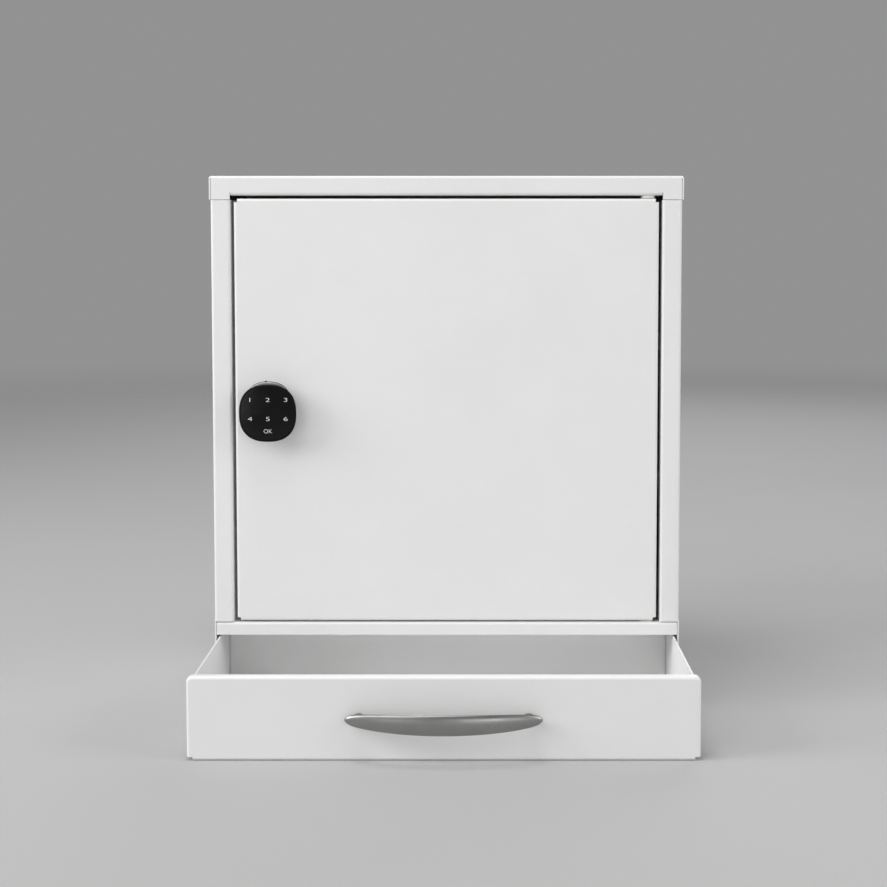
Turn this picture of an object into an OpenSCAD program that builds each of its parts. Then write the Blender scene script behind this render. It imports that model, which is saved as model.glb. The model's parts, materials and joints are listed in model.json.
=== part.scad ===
// Wall-hung medicine cabinet of folded sheet steel: a hinged door with a keypad knob lock, and
// below it an open-topped drawer. +Z is up and the front faces -Y. The origin lies on the back
// face, at the centre of the four wall holes. All lengths are in millimetres.

/* [Cabinet] */
// Width over the two side panels
cab_w = 400; // [340:1:600]
// Depth from the wall to the front faces of the posts
cab_d = 200; // [180:1:320]
// Height from the top of the cap to the top of the cabinet floor
upper_h = 382.7; // [350:0.1:700]
// Height from the top of the cabinet floor to the underside of the bottom panel
bay_h = 72.3; // [60:0.1:160]
// Thickness of the body's sheet steel
sheet = 1.2; // [0.8:0.1:1.5]
// Inner radius of every bend
bend_r = 1.2; // [0.5:0.1:1.6]
// Height of the cap's side flanges, and of its front flange over the posts
cap_side_h = 20; // [18:0.5:30]
// Height of the cap's front flange over the door
cap_front_h = 16.5; // [12:0.5:17.5]
// Depth of the lip turned back under the cap's front flange
cap_lip_d = 14; // [12:0.5:20]
// Width of each front post
post_w = 16.8; // [12:0.1:30]
// Depth of the lip turned back from each post
post_lip_d = 16; // [15:0.5:24]
// Width of the flange that the door closes against, on the lock side
stop_w = 9; // [6:0.5:14]
// Height of the rail, the floor's front flange
rail_h = 11; // [9:0.5:20]
// Height of the floor's side flanges
floor_side_h = 8; // [6:0.5:9]
// Depth of the back panel's flanges, and height of the flanges laid against it
back_flange = 12; // [8:0.5:20]
// Height of the bottom panel's side flanges
bottom_side_h = 10; // [6:0.5:16]
// Visible seam between two folded edges
seam = 0.4; // [0.2:0.1:0.8]
// Length of the corner reliefs
relief = 3; // [2:0.1:4]

/* [Wall holes] */
// Distance between the holes from side to side
wall_hole_dx = 320; // [200:1:330]
// Distance between the upper and the lower holes
wall_hole_dz = 300; // [200:1:320]
// Diameter of a wall hole
wall_hole_d = 5; // [4:0.5:10]
// Distance from the top of the cap down to the upper holes
wall_hole_drop = 45; // [30:1:48]

/* [Door] */
// Gap on either side of the door
door_gap_side = 2.8; // [2:0.1:4]
// Gap above the door
door_gap_top = 2.7; // [2:0.1:4]
// Gap below the door
door_gap_bottom = 1.2; // [1:0.1:3]
// Depth of the door's folded edges
door_fold = 13; // [12:0.5:14]
// Distance from the door's right edge to the hinge axis
hinge_inset = 9; // [7.5:0.1:9.2]
// Distance from the door's front face back to the hinge axis
hinge_back = 7; // [6.5:0.1:7.2]
// Diameter of the hinge pins
pin_d = 6; // [4:0.5:6]
// Diameter of the pins' heads
pin_head_d = 9; // [8:0.5:9]
// Height of the pins' heads
pin_head_h = 2; // [1:0.5:3]
// Outer diameter of the hinge bushes' sleeves
bush_d = 8; // [7.5:0.5:9]
// Diameter of the hinge bushes' flanges
bush_flange_d = 12; // [10:0.5:12.5]
// Diameter of the groove that the clip on the lower pin sits in
pin_groove_d = 4.5; // [3:0.1:4.5]
// Length that a bush's sleeve stands out of the sheet
bush_out = 1; // [0.5:0.1:1.2]
// Thickness of the clip on the lower pin
clip_t = 0.8; // [0.5:0.1:1.2]
// Diameter of the clip on the lower pin
clip_d = 11; // [9:0.5:12]
// Height of the rubber buffers that the door closes against
buffer_h = 1.5; // [1:0.1:1.5]
// Diameter of those buffers
buffer_d = 7; // [4:0.5:7]
// Distance from the door's upper and lower edges to the buffers
buffer_inset = 30; // [15:1:60]

/* [Lock] */
// Distance from the door's left edge to the lock's axis
lock_inset = 29.5; // [28:0.5:36]
// Width and height of the knob's face
knob_size = 47; // [44:0.5:52]
// Exponent of the knob's outline: 2 is a circle, higher is squarer
knob_power = 2.45; // [2:0.05:4]
// Height of the knob over its ring, with the touch face
knob_h = 13.7; // [12.5:0.1:20]
// Thickness of the touch face
glass_t = 1.7; // [1:0.1:3]
// Wall of the knob's housing
knob_wall = 2; // [1.5:0.1:3]
// Height of the bevel round the touch face
glass_bevel = 0.6; // [0.2:0.1:0.9]
// Reach of the ring's edge past the knob's sides
ring_reach = 0.7; // [0:0.1:2]
// Thickness of that ring
ring_t = 3; // [2:0.1:5]
// Height of the ring's middle over the knob's, which keeps its upper edge in view
ring_rise = 1.5; // [0:0.1:2.5]
// Radius of the ring's outer edge
ring_round = 1.2; // [0.4:0.1:1.8]
// Diameter of the lock's barrel
barrel_d = 22; // [19:0.5:24]
// Distance between the barrel's two flats
barrel_flats = 20; // [17:0.5:22]
// Diameter of the spindle through the barrel
spindle_d = 10; // [8:0.5:12]
// Side of the spindle's square end
spindle_square = 7; // [5:0.5:7]
// Width of the lock nut across its flats
nut_af = 27; // [25:0.5:30]
// Thickness of the lock nut
nut_t = 4; // [3:0.5:6]
// Thickness of the cam
cam_t = 2.5; // [2:0.1:3]
// Width of the cam
cam_w = 16; // [13:0.5:18]
// Reach of the cam from the lock's axis
cam_reach = 35; // [32:0.5:40]
// Diameter of the cam screw's thread
cam_screw_d = 4; // [3:0.5:4]
// Length of the cam screw's thread inside the spindle
cam_screw_l = 5; // [4:0.5:5.5]
// Diameter of the cam screw's head
cam_screw_head_d = 8; // [6:0.5:9]
// Height of the cam screw's head
cam_screw_head_h = 2.4; // [1.6:0.1:2.6]
// Thickness of the washer under that head
washer_t = 0.8; // [0.4:0.1:1]
// Diameter of that washer
washer_d = 10; // [9:0.5:14]
// Thickness of the circuit board
board_t = 1.2; // [0.8:0.1:1.6]
// Diameter of a coin cell
cell_d = 16; // [12:0.5:16]
// Thickness of a coin cell
cell_t = 3.2; // [1.6:0.1:3.2]
// Diameter of the clutch motor
motor_d = 6; // [4:0.5:6]
// Length of the clutch motor
motor_l = 14; // [10:0.5:16]
// Distance from the knob's upper edge down to the motor's axis
motor_inset = 11.5; // [8:0.5:14]
// Distance from the knob's lower edge up to the middle of the cells
cell_inset = 13.5; // [11:0.5:15]

/* [Shelves] */
// Thickness of the shelves' sheet
shelf_t = 1; // [0.8:0.1:1.5]
// Height of the shelves' front and rear folds
shelf_fold = 15; // [10:0.5:25]
// Depth of the lip turned back under a shelf's front fold
shelf_lip = 6; // [4:0.5:12]
// Gap between a shelf and the back panel
shelf_gap_rear = 2; // [1:0.1:5]
// Gap between a shelf and the slotted strips
shelf_gap_side = 0.8; // [0.3:0.1:2]
// Distance from the posts' front faces back to the shelves
shelf_setback = 26; // [25:0.5:60]
// Slots, counted from below, that the two shelves hang at
shelf_slots = [5, 11]; // [1:1:15]
// Width of the slotted strips
strip_w = 14; // [12:0.5:20]
// Depth of the slotted strips
strip_d = 5; // [4:0.5:8]
// Distance from a shelf's front edge to the front strips
strip_front = 30; // [20:1:60]
// Distance from the wall to the rear strips
strip_rear = 40; // [25:1:60]
// Height of the strips' lower ends over the floor
strip_foot = 10; // [5:1:30]
// Distance from a strip's lower end to its first slot
slot_first = 14; // [8:1:30]
// Distance from one slot to the next
slot_pitch = 20; // [15:0.5:30]
// Width of a slot
slot_w = 8; // [6:0.5:9]
// Height of a slot
slot_h = 3; // [2.5:0.1:4]
// Thickness of the shelf clips
clip_plate = 1.5; // [1:0.1:2]
// Reach of a clip's ledge under the shelf
clip_reach = 9; // [6:0.5:14]
// Height of a clip
clip_h = 13; // [10:0.5:18]
// Length of the clip's hook behind the strip's face
clip_hook = 0.8; // [0.4:0.1:1.2]

/* [Drawer] */
// Depth of the drawer over its front and back
drawer_d = 190; // [150:1:192]
// Distance that the drawer stands open, from the posts' front faces to the drawer's front
drawer_open = 140; // [120:1:145]
// Further travel from there to the stops
drawer_extra = 10; // [5:0.5:20]
// Gap between the drawer's sides and the side panels
drawer_side_gap = 2.6; // [2.5:0.1:5]
// Distance from the rail's lower edge down to the drawer's sides
drawer_top_gap = 1.8; // [1.5:0.1:3]
// Depth of the drawer front's folded edges
front_fold = 7; // [6:0.5:15]
// Lap of the drawer front over the rail
front_lap_top = 1; // [0.5:0.5:5]
// Lap of the drawer front below the bottom panel
front_lap_bottom = 4; // [0:0.5:6]
// Radius of the drawer front's upper corners
front_corner_r = 4.6; // [3:0.1:6]
// Seam between the drawer's back and its sides
drawer_seam = 1.2; // [0.5:0.1:2]
// Width of the tabs that join the drawer's sides to its front and back
drawer_tab = 12; // [8:0.5:20]
// Length of a stop tab on a drawer side
stop_l = 14; // [10:0.5:20]
// Rise of a stop tab over the drawer side
stop_rise = 5; // [3.5:0.5:6]
// Radius of a stop tab's corners
stop_round = 2; // [0.5:0.1:3]
// Thickness of the runners under the drawer
runner_t = 2; // [1.5:0.1:3]
// Width of the runners under the drawer
runner_w = 14; // [10:0.5:20]
// Height of the runners beside the drawer
runner_h = 18; // [12:0.5:24]
// Distance from a runner's ends to the bottom panel's reliefs
runner_inset = 5; // [2:0.5:15]
// Running clearance between the drawer and its runners
runner_clear = 0.3; // [0.2:0.1:0.5]

/* [Drawer handle] */
// Length over the handle's tips
handle_l = 154; // [140:1:200]
// Height of the handle at its middle
handle_w = 16.2; // [12:0.1:24]
// Distance from the drawer's front to the outside of the bow
handle_out = 24; // [22:0.5:34]
// Thickness of the bow
handle_t = 5; // [4:0.1:7]
// Height of the tips' outer faces over the drawer's front
handle_tip = 8; // [4:0.1:12]
// Distance between the two handle screws
handle_pitch = 128; // [96:1:160]
// Radius of the bow's crowned outer face
handle_crown_r = 30; // [15:1:60]
// Fullness of the leaf: 1 is an ellipse, less is fuller
handle_leaf_power = 0.8; // [0.6:0.05:1]
// Height of the handle's axis over the middle of the drawer's front
handle_rise = 0.9; // [0:0.1:10]
// Width of the oval feet
foot_w = 10; // [8:0.5:12]
// Height of the oval feet
foot_h = 7.2; // [6.5:0.1:10]
// Distance from a screw out to the middle of its foot
foot_shift = 2; // [0:0.5:2.5]
// Diameter of the handle screws' thread
handle_screw_d = 3.9; // [2.9:0.1:3.9]
// Length of that thread inside a foot
handle_screw_l = 5; // [4:0.5:8]
// Diameter of the handle screws' heads
handle_screw_head_d = 8; // [6:0.5:10]
// Height of the handle screws' heads
handle_screw_head_h = 2.4; // [1.5:0.1:3]

/* [Hidden] */
$fn = 64;

// Overshoot of every cut past the face that it opens
eps = 1;
// Clearance of a shaft in its hole, on the radius
run_clear = 0.05;
// Clearance between two bodies' faces that pass each other
face_clear = 0.3;
// Clearance of a piece that is pushed into its place, on each side
push_clear = 0.1;
// Depth of a blind hole past the end of its screw
hole_spare = 1;
// Length that a pin stands out of its bush or of the rail
pin_out = 1;
// Flat stretch behind the bend of the cap's front flange
cap_root = 4 * (bend_r + sheet);
// Share of a screw head's diameter that its cross slot takes
slot_share = 0.6;
// Corners of a drawn outline, and the angle between two of them
outline_steps = 72;
outline_turn = 360 / outline_steps;
// Centreline offset of a sheet from its outer face
half = sheet / 2;
// Outer radius of a bend
bend_out = bend_r + sheet;

// Levels
z_top = wall_hole_dz / 2 + wall_hole_drop;
z_floor = z_top - upper_h;
z_bottom = z_floor - bay_h;
z_cap_under = z_top - sheet;
z_cap_lip = z_top - cap_front_h;
z_post_top = z_top - cap_side_h - seam;
z_rail = z_floor - rail_h;

// Widths
x_side = cab_w / 2;
x_inner = x_side - sheet;
x_open = x_side - post_w;
y_front = -cab_d;

// Door
door_x = x_open - door_gap_side;
door_z0 = z_floor + door_gap_bottom;
door_z1 = z_cap_lip - door_gap_top;
door_rear = y_front + door_fold;
hinge_x = door_x - hinge_inset;
hinge_y = y_front + hinge_back;

// Lock
lock_x = lock_inset - door_x;
lock_z = (door_z0 + door_z1) / 2;
ring_d = knob_size + 2 * ring_reach;
ring_y = y_front - ring_t;
knob_y = ring_y - face_clear;
face_y = knob_y - knob_h;
cam_y = y_front + post_lip_d + face_clear;
barrel_rear = cam_y - face_clear;
spindle_front = knob_y - knob_wall;
board_y = face_y + glass_t + 2 * push_clear;
motor_z = lock_z + knob_size / 2 - motor_inset;
cell_z = lock_z - knob_size / 2 + cell_inset;

// Drawer, at the opening that it is shown at
drawer_x = x_inner - drawer_side_gap;
drawer_face = y_front - drawer_open;
drawer_rear = drawer_face + drawer_d;
drawer_z1 = z_rail - drawer_top_gap;
runner_z = z_bottom + sheet;
drawer_z0 = runner_z + runner_t + runner_clear;
front_z0 = z_bottom - front_lap_bottom;
front_z1 = z_rail + front_lap_top;
stop_y = y_front + sheet + drawer_extra + face_clear;
handle_z = (front_z0 + front_z1) / 2 + handle_rise;

// Shelves
strip_z0 = z_floor + strip_foot;
strip_z1 = z_cap_under - back_flange;
first_slot = strip_z0 + slot_first;
slot_count = floor((strip_z1 - first_slot - 2 * slot_h) / slot_pitch) + 1;
shelf_x = x_inner - strip_d - shelf_gap_side;
shelf_front = y_front + shelf_setback;
shelf_rear = -sheet - shelf_gap_rear;
strip_ys = [shelf_front + strip_front, -strip_rear];
// Clearance of a clip in its slot, on each side
clip_clear = 2 * push_clear;
// Rise of a shelf's underside over the middle of the slot that its clips sit in
clip_rise = slot_h / 2 + clip_plate - 5 * push_clear;

// ---- Shared shapes ----

// Extrudes a drawing of (X, Y) from z0 up to z1
module along_z(z0, z1) {
  translate([0, 0, z0]) linear_extrude(z1 - z0) children();
}

// Extrudes a drawing of (Y, Z) from x0 to x1
module along_x(x0, x1) {
  translate([x0, 0, 0]) rotate([90, 0, 90]) linear_extrude(x1 - x0) children();
}

// Extrudes a drawing of (X, Z) from y0 to y1
module along_y(y0, y1) {
  translate([0, y1, 0]) rotate([90, 0, 0]) linear_extrude(y1 - y0) children();
}

// Cylinder along Y from y0 to y1 on the axis (x, z)
module rod_y(x, z, d, y0, y1) {
  translate([x, y1, z]) rotate([90, 0, 0]) cylinder(d = d, h = y1 - y0);
}

// Cylinder along Z from z0 to z1 on the axis (x, y)
module rod_z(x, y, d, z0, z1) {
  translate([x, y, z0]) cylinder(d = d, h = z1 - z0);
}

function unit(v) = v / norm(v);

// Straight strip of sheet with its centreline from a to b, which lie on one row or column
module strip_2d(a, b, t) {
  low = [min(a.x, b.x), min(a.y, b.y)];
  high = [max(a.x, b.x), max(a.y, b.y)];
  across = abs(a.x - b.x) < abs(a.y - b.y) ? [t / 2, 0] : [0, t / 2];
  translate(low - across) square(high - low + 2 * across);
}

// Bend at the corner p of a centreline that comes in along d1 and leaves along d2
module bend_2d(p, d1, d2, t, r) {
  c = p + (d2 - d1) * (r + t / 2);
  far = c + (d1 - d2) * (r + t);
  intersection() {
    difference() {
      translate(c) circle(r + t);
      translate(c) circle(r);
    }
    translate([min(c.x, far.x), min(c.y, far.y)]) square(r + t);
  }
}

// Sheet of thickness t folded at right angles along the centreline pts
module folded(pts, t = sheet, r = bend_r) {
  last = len(pts) - 1;
  rc = r + t / 2;
  for (i = [0:last - 1]) {
    d = unit(pts[i + 1] - pts[i]);
    a = i == 0 ? pts[i] : pts[i] + d * rc;
    b = i == last - 1 ? pts[i + 1] : pts[i + 1] - d * rc;
    strip_2d(a, b, t);
  }
  for (i = [1:last - 1])
    bend_2d(pts[i], unit(pts[i] - pts[i - 1]), unit(pts[i + 1] - pts[i]), t, r);
}

// Rectangle whose corners (low left, low right, high right, high left) have their own radii
module rounded_rect(x0, y0, x1, y1, radii) {
  difference() {
    translate([x0, y0]) square([x1 - x0, y1 - y0]);
    corner_2d([x0, y0], [1, 1], radii[0]);
    corner_2d([x1, y0], [-1, 1], radii[1]);
    corner_2d([x1, y1], [-1, -1], radii[2]);
    corner_2d([x0, y1], [1, -1], radii[3]);
  }
}

// Waste outside a round of radius r at corner p, which opens towards d
module corner_2d(p, d, r) {
  if (r > 0) {
    a = p - d * eps;
    c = p + d * r;
    difference() {
      translate([min(a.x, c.x), min(a.y, c.y)]) square(r + eps);
      translate(c) circle(r);
    }
  }
}

// ---- Cabinet ----

// Profile of a side panel's post zone, seen from above: wall, post, lip and, where stop is true,
// the flange that the door closes against. Left side; u runs inwards from the outer face.
module post_2d(stop) {
  wall = [[half, cab_d], [half, half], [post_w - half, half]];
  lip_end = [post_w - half, post_lip_d - (stop ? half : 0)];
  tail = stop ? [[post_w - half + stop_w, post_lip_d - half]] : [];
  translate([-x_side, y_front]) folded(concat(wall, [lip_end], tail));
}

module left_side(stop) {
  along_z(z_floor + seam, z_post_top) post_2d(stop);
  along_z(z_bottom, z_floor + seam + eps)
    translate([-x_side, y_front]) square([sheet, cab_d]);
  along_z(z_post_top - eps, z_cap_under - bend_r)
    translate([-x_side, y_front + sheet + seam]) square([sheet, cab_d - sheet - seam]);
}

module side_panel_left() {
  color("WhiteSmoke") difference() {
    left_side(true);
    post_relief();
  }
}

module side_panel_right() {
  color("WhiteSmoke") mirror([1, 0, 0]) difference() {
    left_side(false);
    post_relief();
  }
}

// Keeps the stretches above and below the post clear of its rounded front bend
module post_relief() {
  along_z(z_post_top, z_post_top + seam)
    translate([-x_side - eps, y_front - eps]) square([bend_out + eps, bend_out + eps]);
  along_z(z_floor, z_floor + seam)
    translate([-x_side - eps, y_front - eps]) square([sheet + 2 * eps, seam + eps]);
}

module top_cap() {
  x_out = x_side + sheet;
  color("WhiteSmoke") difference() {
    union() {
      // Top with the side flanges, which lie outside the side panels
      along_y(y_front, 0)
        folded([[half - x_out, z_top - cap_side_h], [half - x_out, z_top - half],
                [x_out - half, z_top - half], [x_out - half, z_top - cap_side_h]]);
      // Front flange and lip over the door
      along_x(-x_open, x_open)
        folded([[y_front + cap_lip_d, z_cap_lip + half], [y_front + half, z_cap_lip + half],
                [y_front + half, z_top - half], [y_front + cap_root, z_top - half]]);
      // Front flange over the posts
      for (side = [-1, 1])
        along_x(side > 0 ? x_open + seam : -x_side + seam, side > 0 ? x_side - seam : -x_open - seam)
          folded([[y_front + half, z_top - cap_side_h], [y_front + half, z_top - half],
                  [y_front + cap_root, z_top - half]]);
      // Front flange between the reliefs of the lip
      along_x(-x_open - seam - eps, x_open + seam + eps)
        folded([[y_front + half, z_cap_lip + bend_out + seam], [y_front + half, z_top - half],
                [y_front + cap_root, z_top - half]]);
    }
    // Rounded front edge of the top
    along_x(-x_out - eps, x_out + eps) corner_2d([y_front, z_top], [1, -1], bend_out);
    // Hole for the upper hinge bush
    rod_z(hinge_x, hinge_y, bush_d, z_cap_lip - eps, z_cap_lip + sheet + eps);
  }
}

module back_panel() {
  color("WhiteSmoke") difference() {
    union() {
      along_z(z_bottom, z_cap_under - relief)
        folded([[half - x_inner, -back_flange], [half - x_inner, -half],
                [x_inner - half, -half], [x_inner - half, -back_flange]]);
      along_x(relief - x_inner, x_inner - relief)
        folded([[-half, z_floor], [-half, z_cap_under - half], [-back_flange, z_cap_under - half]]);
    }
    for (x = [-1, 1], z = [-1, 1])
      rod_y(x * wall_hole_dx / 2, z * wall_hole_dz / 2, wall_hole_d, -sheet - eps, eps);
  }
}

module floor_panel() {
  x_rail = x_inner - seam;
  x_rear = x_inner - bend_out;
  y_mid = -cab_d / 2;
  color("WhiteSmoke") difference() {
    union() {
      along_x(-x_rail, x_rail)
        folded([[y_front + half, z_rail], [y_front + half, z_floor - half], [y_mid, z_floor - half]]);
      along_x(-x_rear, x_rear)
        folded([[y_mid, z_floor - half], [-sheet - half, z_floor - half],
                [-sheet - half, z_floor - back_flange]]);
      along_y(y_front + sheet + relief, -back_flange - seam)
        folded([[half - x_inner, z_floor - floor_side_h], [half - x_inner, z_floor - half],
                [x_inner - half, z_floor - half], [x_inner - half, z_floor - floor_side_h]]);
    }
    // Hole for the lower hinge bush
    rod_z(hinge_x, hinge_y, bush_d, z_floor - sheet - eps, z_floor + eps);
  }
}

module bottom_panel() {
  x_rear = x_inner - bend_out;
  color("WhiteSmoke") {
    along_x(-x_rear, x_rear)
      folded([[y_front, z_bottom + half], [-sheet - half, z_bottom + half],
              [-sheet - half, z_bottom + back_flange]]);
    along_y(y_front + relief, -back_flange - seam)
      folded([[half - x_inner, z_bottom + bottom_side_h], [half - x_inner, z_bottom + half],
              [x_inner - half, z_bottom + half], [x_inner - half, z_bottom + bottom_side_h]]);
  }
}

// Angle-shaped runner: a track under the drawer and a guide beside it. Left side.
module runner() {
  x_out = sheet - x_inner;
  x_guide = -drawer_x - runner_clear;
  y0 = y_front + relief + runner_inset;
  y1 = -back_flange - seam - runner_inset;
  color("Gainsboro") along_y(y0, y1) difference() {
    union() {
      translate([x_out, runner_z]) square([runner_w, runner_t]);
      translate([x_out, runner_z]) square([x_guide - x_out, runner_h]);
    }
    // Room for the bend of the bottom panel
    corner_2d([x_out, runner_z], [1, 1], bend_r);
  }
}

module drawer_runner_left() {
  runner();
}

module drawer_runner_right() {
  mirror([1, 0, 0]) runner();
}

// Slotted channel on the left side panel, with its middle at y
module shelf_strip(y) {
  x_wall = -x_inner;
  color("Gainsboro") difference() {
    along_z(strip_z0, strip_z1)
      folded([[x_wall, y - strip_w / 2 + shelf_t / 2],
              [x_wall + strip_d - shelf_t / 2, y - strip_w / 2 + shelf_t / 2],
              [x_wall + strip_d - shelf_t / 2, y + strip_w / 2 - shelf_t / 2],
              [x_wall, y + strip_w / 2 - shelf_t / 2]], shelf_t, shelf_t);
    for (i = [0:slot_count - 1])
      translate([x_wall + strip_d - shelf_t - eps, y - slot_w / 2,
                 first_slot + i * slot_pitch - slot_h / 2])
        cube([shelf_t + 2 * eps, slot_w, slot_h]);
  }
}

module shelf_strip_left_front() {
  shelf_strip(strip_ys[0]);
}

module shelf_strip_left_rear() {
  shelf_strip(strip_ys[1]);
}

module shelf_strip_right_front() {
  mirror([1, 0, 0]) shelf_strip(strip_ys[0]);
}

module shelf_strip_right_rear() {
  mirror([1, 0, 0]) shelf_strip(strip_ys[1]);
}

// Underside of shelf k
function shelf_level(k) = first_slot + shelf_slots[k] * slot_pitch + clip_rise;

module shelf(k) {
  z = shelf_level(k);
  color("WhiteSmoke") along_x(-shelf_x, shelf_x)
    folded([[shelf_front + shelf_t / 2 + shelf_lip, z + shelf_t - shelf_fold + shelf_t / 2],
            [shelf_front + shelf_t / 2, z + shelf_t - shelf_fold + shelf_t / 2],
            [shelf_front + shelf_t / 2, z + shelf_t / 2],
            [shelf_rear - shelf_t / 2, z + shelf_t / 2],
            [shelf_rear - shelf_t / 2, z + shelf_t - shelf_fold]], shelf_t, shelf_t);
}

module shelf_lower() {
  shelf(0);
}

module shelf_upper() {
  shelf(1);
}

// Clip on the left strip at y: a plate on the strip, a hook in the slot and a ledge for the shelf
module shelf_clip(y, z) {
  x_face = strip_d - x_inner;
  along_y(y - slot_w / 2 + clip_clear, y + slot_w / 2 - clip_clear) {
    folded([[x_face + clip_plate / 2, z - clip_h], [x_face + clip_plate / 2, z - clip_plate / 2],
            [x_face + clip_reach, z - clip_plate / 2]], clip_plate, clip_plate / 2);
    translate([x_face - shelf_t - clip_hook, z - clip_rise - slot_h / 2 + clip_clear])
      square([shelf_t + clip_hook + clip_plate / 2, slot_h - 2 * clip_clear]);
  }
}

module shelf_clips() {
  color("Silver") for (side = [0, 1], y = strip_ys, k = [0, 1])
    mirror([side, 0, 0]) shelf_clip(y, shelf_level(k));
}

// Rubber buffers on the flat of the stop flange, near the top and the bottom of the door
module door_buffers() {
  y0 = y_front + post_lip_d - sheet;
  x = (bend_r + stop_w - half) / 2 - x_open;
  color("DimGray") for (z = [door_z0 + buffer_inset, door_z1 - buffer_inset])
    rod_y(x, z, buffer_d, y0 - buffer_h, y0);
}

// Flanged bush with its sleeve from z0 to z1 and its flange from f0 to f1
module hinge_bush(z0, z1, f0, f1) {
  color("White") difference() {
    union() {
      rod_z(hinge_x, hinge_y, bush_d, z0, z1);
      rod_z(hinge_x, hinge_y, bush_flange_d, f0, f1);
    }
    rod_z(hinge_x, hinge_y, pin_d + 2 * run_clear, min(z0, f0) - eps, max(z1, f1) + eps);
  }
}

module hinge_bush_top() {
  flange = door_z1 + face_clear;
  hinge_bush(flange, z_cap_lip + sheet + bush_out, flange, z_cap_lip);
}

module hinge_bush_bottom() {
  flange = door_z0 - face_clear;
  hinge_bush(z_floor - sheet - bush_out, flange, z_floor, flange);
}

// ---- Door ----

module door_panel() {
  z_mid0 = door_z0 + half;
  z_mid1 = door_z1 - half;
  x_mid = door_x - half;
  color("WhiteSmoke") difference() {
    union() {
      along_z(door_z0 + relief, door_z1 - relief)
        folded([[-x_mid, door_rear], [-x_mid, y_front + half],
                [x_mid, y_front + half], [x_mid, door_rear]]);
      along_x(relief - door_x, door_x - relief)
        folded([[door_rear, z_mid0], [y_front + half, z_mid0],
                [y_front + half, z_mid1], [door_rear, z_mid1]]);
    }
    // Hole for the lock's barrel, with the barrel's flats
    barrel(y_front - eps, y_front + sheet + eps, push_clear);
    for (z = [z_mid0, z_mid1])
      rod_z(hinge_x, hinge_y, pin_d, z - sheet, z + sheet);
  }
}

module hinge_pin_top() {
  head_z = door_z1 - sheet;
  color("Silver") {
    rod_z(hinge_x, hinge_y, pin_d, head_z - pin_head_h, z_cap_lip + sheet + bush_out + pin_out);
    rod_z(hinge_x, hinge_y, pin_head_d, head_z - pin_head_h, head_z);
  }
}

module hinge_pin_bottom() {
  head_z = door_z0 + sheet;
  color("Silver") difference() {
    union() {
      rod_z(hinge_x, hinge_y, pin_d, z_rail - pin_out, head_z + pin_head_h);
      rod_z(hinge_x, hinge_y, pin_head_d, head_z, head_z + pin_head_h);
    }
    clip_ring(clip_d, pin_groove_d);
  }
}

// Ring just under the lower bush, from the inner diameter to the outer one
module clip_ring(outer, inner) {
  z1 = z_floor - sheet - bush_out - face_clear;
  difference() {
    rod_z(hinge_x, hinge_y, outer, z1 - clip_t, z1);
    rod_z(hinge_x, hinge_y, inner, z1 - clip_t - eps, z1 + eps);
  }
}

// Open clip that snaps into the groove of the lower pin
module hinge_clip() {
  color("DimGray") difference() {
    clip_ring(clip_d, pin_groove_d);
    translate([hinge_x - pin_d / 3, hinge_y, z_rail]) cube([pin_d * 2 / 3, clip_d, rail_h]);
  }
}

// Round barrel with two flats, swollen by grow on every side
module barrel(y0, y1, grow = 0) {
  intersection() {
    rod_y(lock_x, lock_z, barrel_d + 2 * grow, y0, y1);
    translate([lock_x - barrel_flats / 2 - grow, y0, lock_z - barrel_d])
      cube([barrel_flats + 2 * grow, y1 - y0, 2 * barrel_d]);
  }
}

// Ring with a rounded outer edge that covers the hole in the door
module lock_ring() {
  color("Silver") difference() {
    translate([lock_x, y_front, lock_z + ring_rise]) rotate([90, 0, 0]) rotate_extrude()
      rounded_rect(0, 0, ring_d / 2, ring_t, [0, 0, ring_round, 0]);
    rod_y(lock_x, lock_z, barrel_d + 2 * push_clear, ring_y - eps, y_front + eps);
  }
}

module lock_barrel() {
  color("Silver") difference() {
    barrel(ring_y, barrel_rear);
    rod_y(lock_x, lock_z, spindle_d + 2 * run_clear, ring_y - eps, barrel_rear + eps);
  }
}

module lock_nut() {
  y0 = y_front + sheet;
  color("Silver") difference() {
    translate([lock_x, y0 + nut_t, lock_z]) rotate([90, 0, 0])
      cylinder(d = nut_af / cos(30), h = nut_t, $fn = 6);
    barrel(y0 - eps, y0 + nut_t + eps);
  }
}

// ---- Lock knob, which turns with the cam ----

// Outline of the knob, between a circle and a square
function knob_outline(size) = [
  for (i = [0:outline_steps - 1])
    let (c = cos(i * outline_turn), s = sin(i * outline_turn), p = 2 / knob_power)
      size / 2 * [sign(c) * pow(abs(c), p), sign(s) * pow(abs(s), p)]
];

// Slab of the knob's outline from y0 to y1
module knob_slab(size, y0, y1) {
  translate([lock_x, 0, lock_z]) along_y(y0, y1) polygon(knob_outline(size));
}

module knob_housing() {
  rim = face_y + glass_t;
  color("#202022") difference() {
    knob_slab(knob_size, rim, knob_y);
    knob_slab(knob_size - 2 * knob_wall, rim - eps, knob_y - knob_wall);
    rod_y(lock_x, lock_z, spindle_d, knob_y - knob_wall - eps, knob_y + eps);
  }
}

module knob_face() {
  color("#101012") {
    knob_slab(knob_size, face_y + glass_bevel, face_y + glass_t);
    knob_slab(knob_size - 2 * glass_bevel, face_y, face_y + glass_bevel);
  }
}

module circuit_board() {
  color("DarkGreen") knob_slab(knob_size - 2 * (knob_wall + face_clear), board_y, board_y + board_t);
}

module coin_cells() {
  y0 = board_y + board_t;
  color("Silver") for (x = [-1, 1])
    rod_y(lock_x + x * (cell_d / 2 + face_clear), cell_z, cell_d, y0, y0 + cell_t);
}

// Small motor that couples the knob to the spindle once the code is right
module clutch_motor() {
  y = board_y + board_t + motor_d / 2;
  color("Gray") translate([lock_x - motor_l / 2, y, motor_z]) rotate([0, 90, 0])
    cylinder(d = motor_d, h = motor_l);
}

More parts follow.
